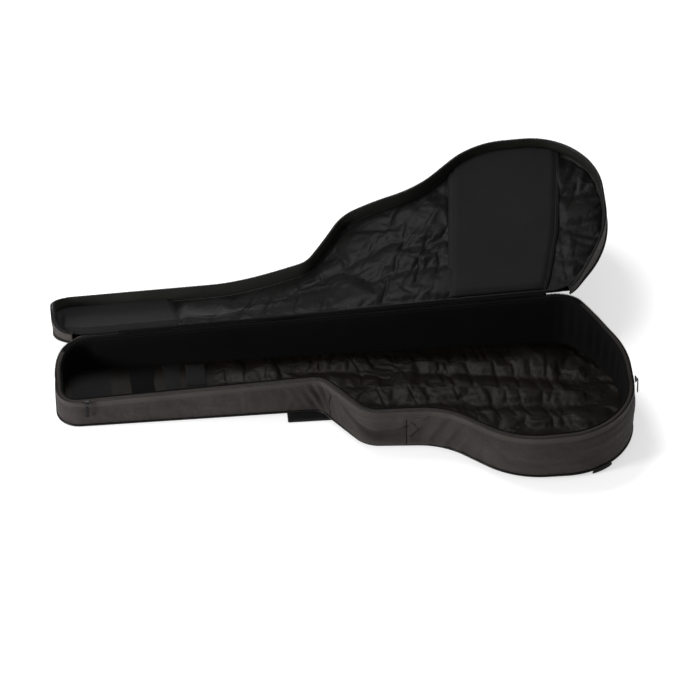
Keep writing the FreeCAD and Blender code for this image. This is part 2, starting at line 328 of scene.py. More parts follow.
def woven(name, dark, light, thread, roughness, sheen, bump, specular=0.3, slub=0.5):
    """Plain weave: threads of a real spacing crossing each other, with slow changes of shade."""
    material, tree, shader = new_material(name, roughness, sheen, specular)
    place = add(tree, "ShaderNodeTexCoord")
    scale = math.pi / (thread * mm) / (2 * math.pi)
    warp = add(
        tree, "ShaderNodeTexWave",
        {"Scale": scale, "bands_direction": "X", "Distortion": 0.6, "Detail": 1.0},
        {"Vector": (place, "Object")}
    )
    weft = add(
        tree, "ShaderNodeTexWave",
        {"Scale": scale, "bands_direction": "Z", "Distortion": 0.6, "Detail": 1.0},
        {"Vector": (place, "Object")}
    )
    cross = add(
        tree, "ShaderNodeTexWave",
        {"Scale": scale, "bands_direction": "Y", "Distortion": 0.6, "Detail": 1.0},
        {"Vector": (place, "Object")}
    )
    first = add(tree, "ShaderNodeMath", {"operation": "ADD"}, {0: (warp, "Fac"), 1: (weft, "Fac")})
    threads = add(
        tree, "ShaderNodeMath", {"operation": "ADD"}, {0: (first, "Value"), 1: (cross, "Fac")}
    )
    slow = add(
        tree, "ShaderNodeTexNoise", {"Scale": 9.0, "Detail": 4.0, "Roughness": 0.6},
        {"Vector": (place, "Object")}
    )
    fine = add(
        tree, "ShaderNodeTexNoise", {"Scale": 420.0, "Detail": 3.0},
        {"Vector": (place, "Object")}
    )
    mixed = add(tree, "ShaderNodeMath", {"operation": "MULTIPLY", 1: slub}, {0: (fine, "Fac")})
    shade = add(tree, "ShaderNodeMath", {"operation": "ADD"}, {0: (slow, "Fac"), 1: (mixed, "Value")})
    colour = add(tree, "ShaderNodeValToRGB", {}, {"Fac": (shade, "Value")})
    colour.color_ramp.elements[0].position = 0.45
    colour.color_ramp.elements[0].color = linear(dark)
    colour.color_ramp.elements[1].position = 1.05
    colour.color_ramp.elements[1].color = linear(light)
    tree.links.new(colour.outputs["Color"], shader.inputs["Base Color"])
    height = add(
        tree, "ShaderNodeMath", {"operation": "ADD"}, {0: (threads, "Value"), 1: (fine, "Fac")}
    )
    relief = add(
        tree, "ShaderNodeBump", {"Strength": bump, "Distance": 0.4 * mm},
        {"Height": (height, "Value")}
    )
    tree.links.new(relief.outputs["Normal"], shader.inputs["Normal"])
    return material


def moulded(name, colour, roughness, grain, bump, metallic=0.0, specular=0.5):
    """Moulded, cast or lacquered material with a fine grain."""
    material, tree, shader = new_material(name, roughness, 0.0, specular, metallic)
    place = add(tree, "ShaderNodeTexCoord")
    noise = add(
        tree, "ShaderNodeTexNoise", {"Scale": 1.0 / (grain * mm), "Detail": 3.0},
        {"Vector": (place, "Object")}
    )
    ramp_node = add(tree, "ShaderNodeValToRGB", {}, {"Fac": (noise, "Fac")})
    ramp_node.color_ramp.elements[0].color = linear(colour)
    ramp_node.color_ramp.elements[1].color = (
        [min(1.0, c * 1.35 + 0.002) for c in linear(colour)[:3]] + [1.0]
    )
    tree.links.new(ramp_node.outputs["Color"], shader.inputs["Base Color"])
    relief = add(
        tree, "ShaderNodeBump", {"Strength": bump, "Distance": 0.2 * mm},
        {"Height": (noise, "Fac")}
    )
    tree.links.new(relief.outputs["Normal"], shader.inputs["Normal"])
    return material


# %% The finishes of this bag
outer_cloth = woven(
    "woven_polyester_warm_grey", "#221e1d", "#332e2c", 1.6, 0.78, 0.02, 0.6, specular=0.16,
    slub=0.6
)
rim_cloth = woven("woven_polyester_rim", "#2a2624", "#3c3735", 1.4, 0.72, 0.02, 0.4, specular=0.2)
band_cloth = woven("matt_black_lining_cloth", "#040404", "#080808", 1.2, 0.9, 0.0, 0.25, specular=0.10)
gusset_cloth = woven("black_gusset_cloth", "#0f0f0d", "#191916", 1.2, 0.6, 0.02, 0.3, specular=0.16)
floor_satin = woven("quilted_satin_lining", "#0c0906", "#130f0b", 0.7, 0.42, 0.01, 0.15, specular=0.11)
lid_satin = woven("lid_satin_lining", "#070707", "#0d0d0c", 0.7, 0.42, 0.01, 0.15, specular=0.10)
guard_cloth = woven("smooth_woven_guard", "#0c0c0c", "#141414", 0.9, 0.66, 0.01, 0.25, specular=0.12)
webbing = woven("polyester_webbing", "#080808", "#121213", 2.2, 0.65, 0.02, 0.8, specular=0.2)
piping_vinyl = moulded("vinyl_piping", "#060606", 0.45, 3.0, 0.2, specular=0.25)
coil_nylon = moulded("nylon_zip_coil", "#060606", 0.45, 1.0, 0.2, specular=0.25)
zip_lacquer = moulded("lacquered_zinc", "#1a1a1c", 0.32, 1.5, 0.15, metallic=0.6)
bumper_rubber = moulded("moulded_rubber", "#070707", 0.75, 0.8, 0.8, specular=0.2)
buckle_plastic = moulded("acetal_buckle", "#111112", 0.45, 0.6, 0.3)
thread = woven("sewing_thread", "#2a2725", "#3a3633", 0.6, 0.7, 0.02, 0.5)

# %% [markdown]
# ## Cloth that settles by itself
# Quilted satin is longer than the foam under it, so it buckles between its stitches. Noise alone
# looks like waves on water. A cloth simulation gives the real thing: the stitched points are held,
# the cloth grows by a few percent, and it finds its own folds.

# %% Cloth tools
def add_held_group(piece, held):
    group = piece.vertex_groups.new(name="held")
    group.add(np.flatnonzero(held).tolist(), 1.0, "REPLACE")
    return group


def settle(piece, held, grow, frames, bending, cap):
    """Lets the cloth of a piece buckle between its held points, moving no point further than cap."""
    before = np.array([v.co for v in piece.data.vertices])
    add_held_group(piece, held)
    only(piece)
    cloth = piece.modifiers.new("cloth", "CLOTH")
    settings = cloth.settings
    settings.quality = 5
    settings.mass = 0.2
    settings.air_damping = 3.0
    settings.tension_stiffness = 25.0
    settings.compression_stiffness = 25.0
    settings.shear_stiffness = 8.0
    settings.bending_stiffness = bending
    settings.vertex_group_mass = "held"
    settings.shrink_min = -grow
    settings.effector_weights.gravity = 0.0
    cloth.collision_settings.use_collision = False
    cloth.collision_settings.use_self_collision = False
    for frame_number in range(1, frames + 1):
        bpy.context.scene.frame_set(frame_number)
    bpy.ops.object.modifier_apply(modifier=cloth.name)
    piece.vertex_groups.clear()
    after = np.array([v.co for v in piece.data.vertices])
    moved = after - before
    far = np.linalg.norm(moved, axis=1)
    moved *= np.minimum(1.0, cap / np.maximum(far, 1e-9))[:, None]
    piece.data.vertices.foreach_set("co", (before + moved).ravel())
    piece.data.update()
    bpy.context.scene.frame_set(1)
    print(piece.name, "settled, furthest point moved", round(float(far.max()) * 1000, 1), "mm")


def distance_to_lines(x, y, lines):
    """Distance of each point to the nearest stitch line, and the distance along that line."""
    nearest = np.full(x.shape, 9.0)
    signed = np.full(x.shape, 9.0)
    along = np.zeros(x.shape)
    for ax, ay, bx, by in lines:
        a = np.array([ax, ay]) * mm
        d = np.array([bx, by]) * mm - a
        t = np.clip(((x - a[0]) * d[0] + (y - a[1]) * d[1]) / (d @ d), 0, 1)
        distance = np.hypot(x - a[0] - t * d[0], y - a[1] - t * d[1])
        side = np.sign(d[0] * (y - a[1]) - d[1] * (x - a[0]))
        closer = distance < nearest
        nearest = np.where(closer, distance, nearest)
        signed = np.where(closer, distance * side, signed)
        along = np.where(closer, t * np.linalg.norm(d) + ax * 0.37, along)
    return nearest, signed, along


def creases(run, signed, spacing, reach, lean, seed):
    """Narrow puckers that cross a stitch line, spaced along it and fading away from it."""
    wander = 0.5 * cloud(signed / 0.05, run / 0.09, seed + 1)
    noise = cloud((run + lean * signed) / spacing + wander, signed / 0.16, seed)
    return -((1 - np.abs(noise)) ** 5) * np.exp(-((signed / reach) ** 2))


# %% [markdown]
# ## Tray wall
# The wall is foam between two cloths, so it is straight in plan but soft in section: it swells
# between its seams, is drawn in where the plan turns inwards at the shoulder, and crumples at the
# end of the neck. The large shapes are moved in code and the small folds come by settling.

# %% Tray outer wall
wall_rows = 30
columns = len(rim_points)
near_side = np.arange(columns)[(rim_points[:, 1] < 0.15)]


def along_at(x):
    """Distance along the outline of the near side's point at x."""
    best = near_side[np.argmin(np.abs(rim_points[near_side, 0] - x))]
    return rim_along[best]


def bump(value, centre, width):
    return np.exp(-((value - centre) / width) ** 2)


def wall_shape(along, v):
    """Outward shift of the wall cloth at a distance along and a share v of the height."""
    body = np.sin(np.pi * np.clip(v, 0, 1)) ** 0.7
    shift = 2.4 * mm * body + 0.9 * mm * cloud(along / 0.09, v * 1.5, 3) * body
    bout = (
        smooth(along_at(0.12), along_at(0.3), along)
        * (1 - smooth(along_at(0.50), along_at(0.50) + 0.2, along))
    )
    shift = shift + bout * 1.0 * mm * cloud(along / 0.13, v * 8.0, 4) * body
    shoulder = along_at(0.055)
    recess = bump(along, shoulder, 0.062) * bump(v, 0.46, 0.34)
    shift = shift - 8.0 * mm * recess
    lip = bump(along, shoulder - 0.01, 0.10) * bump(v, 0.86, 0.1)
    shift = shift + 5.5 * mm * lip
    foot_bulge = bump(along, shoulder + 0.02, 0.09) * bump(v, 0.12, 0.16)
    shift = shift + 6.5 * mm * foot_bulge
    crease_height = 0.30 + 0.42 * ((along - shoulder) / 0.085) ** 2
    crease = bump(v, crease_height, 0.075) * bump(along, shoulder, 0.085)
    shift = shift - 8.5 * mm * crease
    crumple = bump(along, along_at(-0.045), 0.028) * body
    shift = shift + 5.2 * mm * crumple * np.sin((along + 0.03 * v) * 2 * np.pi / 0.021 + 3 * v)
    waist = bump(along, along_at(0.19), 0.075) * body
    shift = shift + 3.6 * mm * waist * np.sin((along - 0.045 * v) * 2 * np.pi / 0.034)
    seam_neck = bump(along, along_at(-0.033), 0.0022)
    seam_waist = bump(along, along_at(0.105), 0.0022)
    return np.maximum(shift - 1.6 * mm * (seam_neck + seam_waist) * body, -11.0 * mm)


top = zip_level(rim_points[:, 0], rim_points[:, 1])
v = np.linspace(0, 1, wall_rows)[:, None]
along_wall = np.broadcast_to(rim_along, (wall_rows, columns))
v_wall = np.broadcast_to(v, (wall_rows, columns))
foot = underside + 1 * mm
wall_height = foot + (top - 3 * mm - foot) * v
wall_shift = wall_shape(along_wall, v_wall)
roll = np.linspace(0, math.pi / 2, 6)[1:, None]
height = np.concatenate([wall_height, top - 3 * mm + 3 * mm * np.sin(roll), top[None, :] - 0.4 * mm])
shift = np.concatenate([
    wall_shift, np.broadcast_to(-3 * mm * (1 - np.cos(roll)), (5, columns)),
    np.full((1, columns), -9 * mm)
])
grid = np.stack([
    rim_points[:, 0] + rim_normals[:, 0] * shift,
    rim_points[:, 1] + rim_normals[:, 1] * shift,
    height,
], axis=-1)
wall_cloth = grid_mesh("wall_cloth", grid, outer_cloth, around=True)
held_rows = np.zeros(grid.shape[:2], bool)
held_rows[:2] = True
held_rows[wall_rows - 5:] = True
held_rows[:, np.abs(rim_along - along_at(0.105)) < 2 * mm] = True
settle(wall_cloth, held_rows.ravel(), 0.008, 8, 0.6, 3 * mm)
wall_final = np.array([p.co for p in wall_cloth.data.vertices]).reshape(grid.shape)
wall_cloth.data.materials.append(band_cloth)
face_rows = np.repeat(np.arange(len(grid) - 1), columns)
face_y = np.array([p.center.y for p in wall_cloth.data.polygons])
wall_cloth.data.polygons.foreach_set(
    "material_index", ((face_rows >= wall_rows + 1) & (face_y > 0.16)).astype(int)
)
thicken(wall_cloth, 1.2 * mm)
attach(wall_cloth, "tray")
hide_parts("side_shell", "spine_shell", "side_foam", "spine_foam")


# %% [markdown]
# ## Tape, teeth, piping and thread
# Long thin trims all run along the outline. A strip is a narrow grid, piping is a round tube, a row
# of teeth or stitches is one small shape copied along the line into one mesh.

# %% Trim tools
def tube_along(name, path, radius, material, closed=True, sides=8):
    """A round tube through a row of points."""
    path = np.asarray(path)
    if closed:
        ahead = np.roll(path, -1, axis=0) - np.roll(path, 1, axis=0)
    else:
        ahead = np.gradient(path, axis=0)
    ahead /= np.linalg.norm(ahead, axis=1)[:, None]
    side = np.cross(ahead, [0.0, 0.0, 1.0])
    side /= np.linalg.norm(side, axis=1)[:, None]
    up = np.cross(side, ahead)
    a = np.linspace(0, 2 * np.pi, sides, endpoint=False)[:, None, None]
    grid = path + radius * (np.cos(a) * side + np.sin(a) * up)
    piece = grid_mesh(name, grid, material, around=closed, across=True, flip=True)
    if not closed:
        only(piece)
        bpy.ops.object.mode_set(mode="EDIT")
        bpy.ops.mesh.select_all(action="SELECT")
        bpy.ops.mesh.fill_holes(sides=sides)
        bpy.ops.object.mode_set(mode="OBJECT")
    return piece


def row_of(name, places, ahead, out, size, material):
    """Small bevelled blocks at places. ahead and out are directions, size is (long, thick, wide)."""
    ahead = ahead / np.linalg.norm(ahead, axis=1)[:, None]
    out = out / np.linalg.norm(out, axis=1)[:, None]
    across = np.cross(ahead, out)
    unit = np.array([
        (-1, -1, -1), (1, -1, -1), (1, -1, 1), (-1, -1, 1),
        (-0.6, 1, -0.6), (0.6, 1, -0.6), (0.6, 1, 0.6), (-0.6, 1, 0.6),
    ]) / 2
    points = places[:, None, :] + (
        unit[None, :, 0:1] * size[0] * ahead[:, None, :]
        + unit[None, :, 1:2] * size[1] * out[:, None, :]
        + unit[None, :, 2:3] * size[2] * across[:, None, :]
    )
    block = np.array([
        (0, 1, 2, 3), (4, 7, 6, 5), (0, 4, 5, 1), (1, 5, 6, 2), (2, 6, 7, 3), (3, 7, 4, 0)
    ])
    faces = (np.arange(len(places))[:, None, None] * 8 + block[None]).reshape(-1, 4)
    mesh = bpy.data.meshes.new(name)
    mesh.from_pydata(points.reshape(-1, 3).tolist(), [], faces.tolist())
    mesh.materials.append(material)
    piece = bpy.data.objects.new(name, mesh)
    bpy.context.collection.objects.link(piece)
    return piece


def spread(points, step, closed=True):
    """Places at one spacing along a row of points, with the direction along it at each."""
    points = np.asarray(points)
    if closed:
        points = np.concatenate([points, points[:1]])
    length = np.concatenate([[0], np.cumsum(np.linalg.norm(np.diff(points, axis=0), axis=1))])
    at = np.arange(step / 2, length[-1], step)
    places = np.stack([np.interp(at, length, points[:, k]) for k in range(3)], axis=-1)
    later = np.stack([np.interp(at + step * 0.4, length, points[:, k]) for k in range(3)], axis=-1)
    earlier = np.stack([np.interp(at - step * 0.4, length, points[:, k]) for k in range(3)], axis=-1)
    return places, later - earlier


def around_plan(out, heights):
    """Points round the plan, moved outwards by out, at the given heights."""
    return np.stack(
        [
            rim_points[:, 0] + rim_normals[:, 0] * out,
            rim_points[:, 1] + rim_normals[:, 1] * out, heights
        ],
        axis=-1
    )


def outward_at(places):
    """The outline's outward direction at the nearest point of the plan."""
    away = ((places[:, None, :2] - rim_points[None, :, :2]) ** 2).sum(-1)
    near = rim_normals[np.argmin(away, axis=1)]
    return np.concatenate([near, np.zeros((len(near), 1))], axis=1)


# %% Seam lines of painted shade, stitches and bumper on the tray wall
def on_wall(along, share, out):
    """A point on the settled wall cloth, at a distance along and a share of its height."""
    column = int(np.argmin(np.abs(rim_along - along)))
    row = min(int(share * (wall_rows - 1)), wall_rows - 2)
    part = share * (wall_rows - 1) - row
    spot = wall_final[row, column] * (1 - part) + wall_final[row + 1, column] * part
    return spot + np.array([*rim_normals[column], 0.0]) * out


# Each wall seam gets a thin tube of matt black cloth along it: painted shade, a dark line that stands for
# the shade in the seam's groove.
for number, seam_x in enumerate((-0.033, 0.105)):
    path = [on_wall(along_at(seam_x), share, 0.3 * mm) for share in np.linspace(0.04, 0.8, 24)]
    wall_seam_shade_line = tube_along(f"wall_seam_shade_line_{number + 1}", path, 0.8 * mm, band_cloth, closed=False)
    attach(wall_seam_shade_line, "tray")
seam_place = along_at(0.105)
chevron = [
    on_wall(seam_place + (0.008 + 0.016 * (1 - abs(k))) , 0.46 + 0.2 * k, 0.5 * mm)
    for k in np.linspace(-1, 1, 25)
]
places, ahead = spread(chevron, 3.2 * mm, closed=False)
chevron_stitches = row_of(
    "wall_chevron_stitches", places, ahead, outward_at(places), (2.4 * mm, 0.8 * mm, 1.2 * mm),
    band_cloth
)
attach(chevron_stitches, "tray")
bumper_angle = np.degrees(np.arctan2(rim_points[:, 1] + 0.045, rim_points[:, 0] - 0.400))
bumper_columns = np.flatnonzero((bumper_angle > -70.0) & (bumper_angle < -50.0) & (rim_points[:, 0] > 0.4))
ends = np.sin(np.pi * np.linspace(0.02, 0.98, len(bumper_columns))) ** 0.3
profile = np.array([
    (-1.0, 4.0), (3.0, 3.0), (4.6, 4.0), (5.4, 6.0), (5.4, 11.0), (4.6, 14.5), (3.2, 16.5),
    (-1.0, 17.0)
]) * mm
bx, by = rim_points[bumper_columns].T
bnx, bny = rim_normals[bumper_columns].T
out = profile[:, 0:1] * ends
rise = 1 * mm + (profile[:, 1:2] - 1 * mm) * ends
grid = np.stack([bx + bnx * out, by + bny * out, np.broadcast_to(rise, out.shape)], axis=-1)
bumper = grid_mesh("tail_bumper_moulding", grid, bumper_rubber)
thicken(bumper, 1.5 * mm)
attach(bumper, "tray")
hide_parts("tail_bumper")

# %% Tray zip and piping
tape_rows = np.linspace(0, 1, 6)[:, None]
tape_height = top - 13 * mm + 12.5 * mm * tape_rows
tape_shift = np.stack([np.interp(tape_height[r], [0], [0]) + np.array([
    np.interp(
        tape_height[r, c], wall_final[:, c, 2][:wall_rows],
        ((wall_final[:wall_rows, c, :2] - rim_points[c]) @ rim_normals[c])
    )
    for c in range(columns)]) for r in range(6)])
tape_shift = np.maximum(tape_shift, 0.2 * mm) + 1.0 * mm
grid = np.stack(
    [
        rim_points[:, 0] + rim_normals[:, 0] * tape_shift,
        rim_points[:, 1] + rim_normals[:, 1] * tape_shift, tape_height
    ],
    axis=-1
)
zip_tape = thicken(grid_mesh("zip_tape_cloth", grid, rim_cloth, around=True), 0.8 * mm)
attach(zip_tape, "tray")
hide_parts("zip_tape_lower")
stitch_path = (
    grid[0] + np.stack([rim_normals[:, 0], rim_normals[:, 1], np.zeros(columns)], axis=-1) * 0.25
    * mm + [0, 0, 1.5 * mm]
)
places, ahead = spread(stitch_path, 4.0 * mm)
tape_stitches = row_of(
    "zip_tape_stitches", places, ahead, outward_at(places), (2.8 * mm, 0.6 * mm, 0.9 * mm),
    thread
)
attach(tape_stitches, "tray")
places, ahead = spread(around_plan(1.3 * mm, top + 0.1 * mm), 2.6 * mm)
teeth = row_of(
    "zip_coil_lower", places, ahead, outward_at(places), (1.5 * mm, 2.0 * mm, 2.2 * mm),
    coil_nylon
)
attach(teeth, "tray")
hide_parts("zip_teeth_lower")
rim_line = tube_along("rim_piping", around_plan(-9.2 * mm, top + 0.1 * mm), 1.3 * mm, band_cloth)
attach(rim_line, "tray")
back_line = tube_along(
    "back_piping_cord", around_plan(1.2 * mm, np.full(columns, underside + 1.8 * mm)), 2.3 * mm,
    piping_vinyl
)
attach(back_line, "tray")
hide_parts("back_piping")

# %% [markdown]
# ## Inside of the tray
# The far wall and the head carry a plain black band that falls from the rim to the floor. At the
# tail the same black cloth covers the satin wall as painted shade that darkens it. The near wall
# has the same satin as the floor. The floor is the quilt that shows most.

# %% Tray inner wall
rows = 26
v = np.linspace(0, 1, rows)[:, None]
along_wall = np.broadcast_to(rim_along, (rows, columns))
v_wall = np.broadcast_to(v, (rows, columns))
height = floor_level - 1 * mm + (top - 2 * mm - floor_level + 1 * mm) * v
tail_folds = (
    smooth(0.40, 0.47, rim_points[:, 0]) * 1.6 * mm
    * np.sin(rim_along * 2 * np.pi / 0.027 + 2 * cloud(rim_along / 0.05, rim_along * 0, 6))
)
slack = (
    1.6 * mm * cloud(along_wall / 0.12, v_wall * 1.2, 8) + 0.5 * mm
    * cloud(along_wall / 0.03, v_wall * 2, 9)
)
shift = (
    -(cavity_inset - 1 * mm) - 3.0 * mm * (1 - v) ** 3 + (slack + tail_folds - 1 * mm)
    * np.sin(np.pi * v_wall)
)
roll_shift = -(cavity_inset - 1 * mm) + (cavity_inset - 10 * mm) * np.sin(roll)
height = np.concatenate([height, top - 2 * mm + 2.2 * mm * (1 - np.cos(roll))])
shift = np.concatenate([shift, np.broadcast_to(roll_shift, (5, columns))])
grid = np.stack([
    rim_points[:, 0] + rim_normals[:, 0] * shift,
    rim_points[:, 1] + rim_normals[:, 1] * shift,
    height,
], axis=-1)
wall_lining = grid_mesh("wall_lining", grid, band_cloth, around=True, flip=True)
wall_lining.data.materials.append(floor_satin)
middles = np.array([p.center for p in wall_lining.data.polygons])
satin_part = (middles[:, 1] < 0.0) | ((middles[:, 1] < 0.1) & (np.abs(middles[:, 0] + 0.1) < 0.43))
# Beyond x 0.47 the tail's inner wall gets the black cloth instead of satin: painted shade that darkens
# that end wall.
satin_part &= middles[:, 0] < 0.47
wall_lining.data.polygons.foreach_set("material_index", satin_part.astype(int))
thicken(wall_lining, 1.0 * mm)
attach(wall_lining, "tray")
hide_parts("side_lining", "spine_lining")

# %% Tray floor
floor_stitches = [
    (151, 112, 475, 59),
    (235, 9, 458, -13),
    (-84, 133, 81, 116),
    (60, 28, 215, 18),
    (-290, 118, -120, 108),
    (330, -70, 470, -84),
    (100, 172, 330, 158),
]
x, y = plan_grid(cavity_inset - 1 * mm, 3 * mm)
distance, signed, run = distance_to_lines(x, y, floor_stitches)
near, far = edge_of_plan(cavity_inset - 1 * mm, x)
border = np.minimum(y - near, far - y)
pillow = 5.0 * mm * smooth(0.0, 26 * mm, distance) * smooth(0.0, 30 * mm, border)
puckers = 5.5 * mm * creases(run, signed, 0.021, 0.034, 0.25, 12)
rumple = 2.4 * mm * cloud((x + 0.55 * y) / 0.030, (y - 0.35 * x) / 0.10, 15)
fine = 1.1 * mm * cloud((x - 0.3 * y) / 0.013, y / 0.05, 16) * smooth(0.25, -0.05, np.abs(x - 0.1))
flat_end = smooth(-0.24, -0.16, x) * (1 - 0.75 * smooth(0.44, 0.50, x))
shape = (pillow + puckers + (rumple + fine) * smooth(0, 20 * mm, border)) * (0.1 + 0.9 * flat_end)
z = floor_level + 1.2 * mm + np.clip(shape, -1.0 * mm, 11 * mm)
floor_quilt = grid_mesh("floor_quilt", np.stack([x, y, z], axis=-1), floor_satin)
held = (distance < 2.0 * mm) | (border < 3 * mm) | (x < -0.25)
settle(floor_quilt, held.ravel(), 0.014, 11, 0.1, 6 * mm)
thicken(floor_quilt, 1.0 * mm)
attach(floor_quilt, "tray")
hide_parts("back_lining", "back_foam")

# %% Tray back
x, y = plan_grid(0.5 * mm, 6 * mm)
near, far = edge_of_plan(0.5 * mm, x)
border = np.minimum(y - near, far - y)
z = (
    underside + 0.5 * mm - 1.5 * mm * smooth(0, 40 * mm, border) + 0.6 * mm
    * cloud(x / 0.1, y / 0.1, 21) * smooth(0, 30 * mm, border)
)
back_cloth = thicken(
    grid_mesh("back_cloth", np.stack([x, y, z], axis=-1), outer_cloth, flip=True), 1.0 * mm
)
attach(back_cloth, "tray")
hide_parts("back_shell")

# %% [markdown]
# ## Lid
# The lid is made closed, as it is sewn, and then turned open about the hinge line. Its neck is free
# of the hinge and droops, so the turn grows along the neck. Its inside is the same satin, quilted.

# %% Lid lining
lid_stitches = [
    (445, 38, 547, 25),
    (429, 116, 517, 113),
    (156, 47, 225, 35),
    (60, 110, 215, 96),
    (-60, 96, 120, 20),
    (-200, 120, -40, 108),
    (452, -50, 540, -58),
]
lid_far = hinge_y - 2.5 * mm
x, y = plan_grid(5 * mm, 3 * mm, lid_far)
distance, signed, run = distance_to_lines(x, y, lid_stitches)
near, far = edge_of_plan(5 * mm, x)
border = np.minimum(y - near, np.minimum(far, lid_far) - y)
pillow = 4.0 * mm * smooth(0.0, 24 * mm, distance) * smooth(0.0, 30 * mm, border)
puckers = 4.5 * mm * creases(run, signed, 0.022, 0.032, 0.4, 32)
slant_noise = cloud((x + 0.6 * y) / 0.028, (y - 0.6 * x) / 0.15, 35)
slant = (
    4.0 * mm * (0.3 - (1 - np.abs(slant_noise)) ** 4) + 1.5 * mm * slant_noise
) * bump(x, 0.13, 0.10)
rumple = 1.2 * mm * cloud((x + 0.5 * y) / 0.04, (y - 0.5 * x) / 0.12, 36)
tail_radial = 2.0 * mm * cloud(
    np.arctan2(y - 0.04, x - 0.40) * 0.16 / 0.016, np.hypot(x - 0.4, y - 0.04) / 0.2, 37
) * smooth(0.46, 0.53, x)
beside_guard = smooth(0.245, 0.225, x) + smooth(0.445, 0.465, x)
off_head = smooth(-0.315, -0.295, x)
shape = (
    (pillow + puckers + slant + rumple + tail_radial) * smooth(0, 18 * mm, border) * beside_guard
    * off_head
)
z = hinge_level(x) - np.clip(shape, -2 * mm, 9 * mm) * smooth(4 * mm, 16 * mm, hinge_y - y)
lid_lining_cloth = grid_mesh("lid_lining_cloth", np.stack([x, y, z], axis=-1), lid_satin, flip=True)
under_guard = ((x > 0.24) & (x < 0.43)) | (x < -0.32)
held = (distance < 2.0 * mm) | (border < 4 * mm) | under_guard
settle(lid_lining_cloth, held.ravel(), 0.013, 11, 0.1, 5 * mm)


def open_up(piece):
    """Turns a piece that was made closed to where it lies on the open lid."""
    points = np.array([v.co for v in piece.data.vertices])
    piece.data.vertices.foreach_set("co", fold_lid(points).ravel())
    piece.data.update()
    return piece


def hang_on_lid(piece, slot, *nodes):
    """Opens a piece that runs over both parts of the lid and lets it bend between them."""
    open_up(piece)
    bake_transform(piece)
    if nodes:
        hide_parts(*nodes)


thicken(lid_lining_cloth, 0.8 * mm)
hang_on_lid(
    lid_lining_cloth, "satin_lining", "lid_lining", "neck_lid_lining", "lid_foam",
    "neck_lid_foam"
)

# %% Lid outer cloth
x, y = plan_grid(0.5 * mm, 4.5 * mm, lid_far)
near, far = edge_of_plan(0.5 * mm, x)
border = np.minimum(y - near, np.minimum(far, lid_far) - y)
thick = 2 * mm + 15.5 * mm * smooth(2 * mm, 18 * mm, hinge_y - y)
crown = (
    1.5 * mm * smooth(0, 45 * mm, border) + 0.7 * mm * cloud(x / 0.08, y / 0.08, 41)
    * smooth(0, 30 * mm, border)
)
lid_cloth = grid_mesh(
    "lid_cloth", np.stack([x, y, hinge_level(x) + thick + crown], axis=-1), outer_cloth
)
thicken(lid_cloth, 0.8 * mm)
hang_on_lid(lid_cloth, "outer_cloth", "lid_shell", "neck_lid_shell")

# %% Lid gusset
lid_columns = np.array([i for i in range(columns) if rim_points[i, 1] < hinge_y - 9 * mm])
breaks = np.flatnonzero(np.diff(lid_columns) > 1)
if len(breaks):
    lid_columns = np.concatenate([lid_columns[breaks[0] + 1:], lid_columns[:breaks[0] + 1]])
gx, gy = rim_points[lid_columns].T
nx, ny = rim_normals[lid_columns].T
g_along = rim_along[lid_columns]
low = zip_level(gx, gy) + zip_gap
roof = hinge_level(gx)


def gusset_line(out, heights):
    return np.stack([gx + nx * out, gy + ny * out, heights], axis=-1)


v = np.linspace(0, 1, 14)[:, None]
swell = (
    1.5 * mm * np.sin(np.pi * v) + 0.7 * mm * np.sin(np.pi * v)
    * cloud(np.broadcast_to(g_along / 0.05, (14, len(gx))), v * 2 + g_along * 0, 44)
)
gusset_outer = grid_mesh(
    "gusset_outer", gusset_line(swell, low + (roof + 16.5 * mm - low) * v), outer_cloth
)
thicken(gusset_outer, 0.8 * mm)
hang_on_lid(gusset_outer, "outer_cloth", "lid_rim", "neck_rim")
gusset_inner = grid_mesh(
    "gusset_lining",
    gusset_line(-6 * mm + 3 * mm * (1 - v) - swell, low + (roof + 1 * mm - low) * v),
    gusset_cloth, flip=True
)
thicken(gusset_inner, 0.8 * mm)
hang_on_lid(gusset_inner, "black_cloth")
lid_cord = tube_along(
    "lid_piping_cord", gusset_line(1.2 * mm, roof + 16.8 * mm), 2.2 * mm, piping_vinyl,
    closed=False
)
hang_on_lid(lid_cord, "piping", "lid_piping", "neck_lid_piping")
rim_cord = tube_along(
    "lid_rim_piping", gusset_line(-1.6 * mm, low + 0.3 * mm), 1.6 * mm, piping_vinyl,
    closed=False
)
hang_on_lid(rim_cord, "piping")
seam_cord = tube_along(
    "lid_seam_binding", gusset_line(-6.3 * mm, roof - 0.3 * mm), 1.5 * mm, piping_vinyl,
    closed=False
)
hang_on_lid(seam_cord, "piping")
tape_v = np.linspace(0, 1, 5)[:, None]
upper_swell = 1.5 * mm * np.sin(np.pi * 0.3 * tape_v) + 1.5 * mm
upper_tape = grid_mesh(
    "zip_tape_upper_cloth", gusset_line(upper_swell, low + 13 * mm * tape_v), rim_cloth
)
thicken(upper_tape, 0.8 * mm)
hang_on_lid(upper_tape, "zip_tape", "zip_tape_upper", "neck_zip_tape")
places, ahead = spread(gusset_line(1.3 * mm, low - 0.6 * mm), 2.6 * mm, closed=False)
upper_teeth = row_of(
    "zip_coil_upper", places, ahead, outward_at(places), (1.5 * mm, 2.0 * mm, 1.6 * mm),
    coil_nylon
)
hang_on_lid(upper_teeth, "zip_coil", "zip_teeth_upper", "neck_zip_teeth")
places, ahead = spread(gusset_line(2.5 * mm, low + 11.5 * mm), 4.0 * mm, closed=False)
upper_stitches = row_of(
    "zip_tape_upper_stitches", places, ahead, outward_at(places), (2.8 * mm, 0.7 * mm, 0.9 * mm),
    thread
)
hang_on_lid(upper_stitches, "zip_tape")

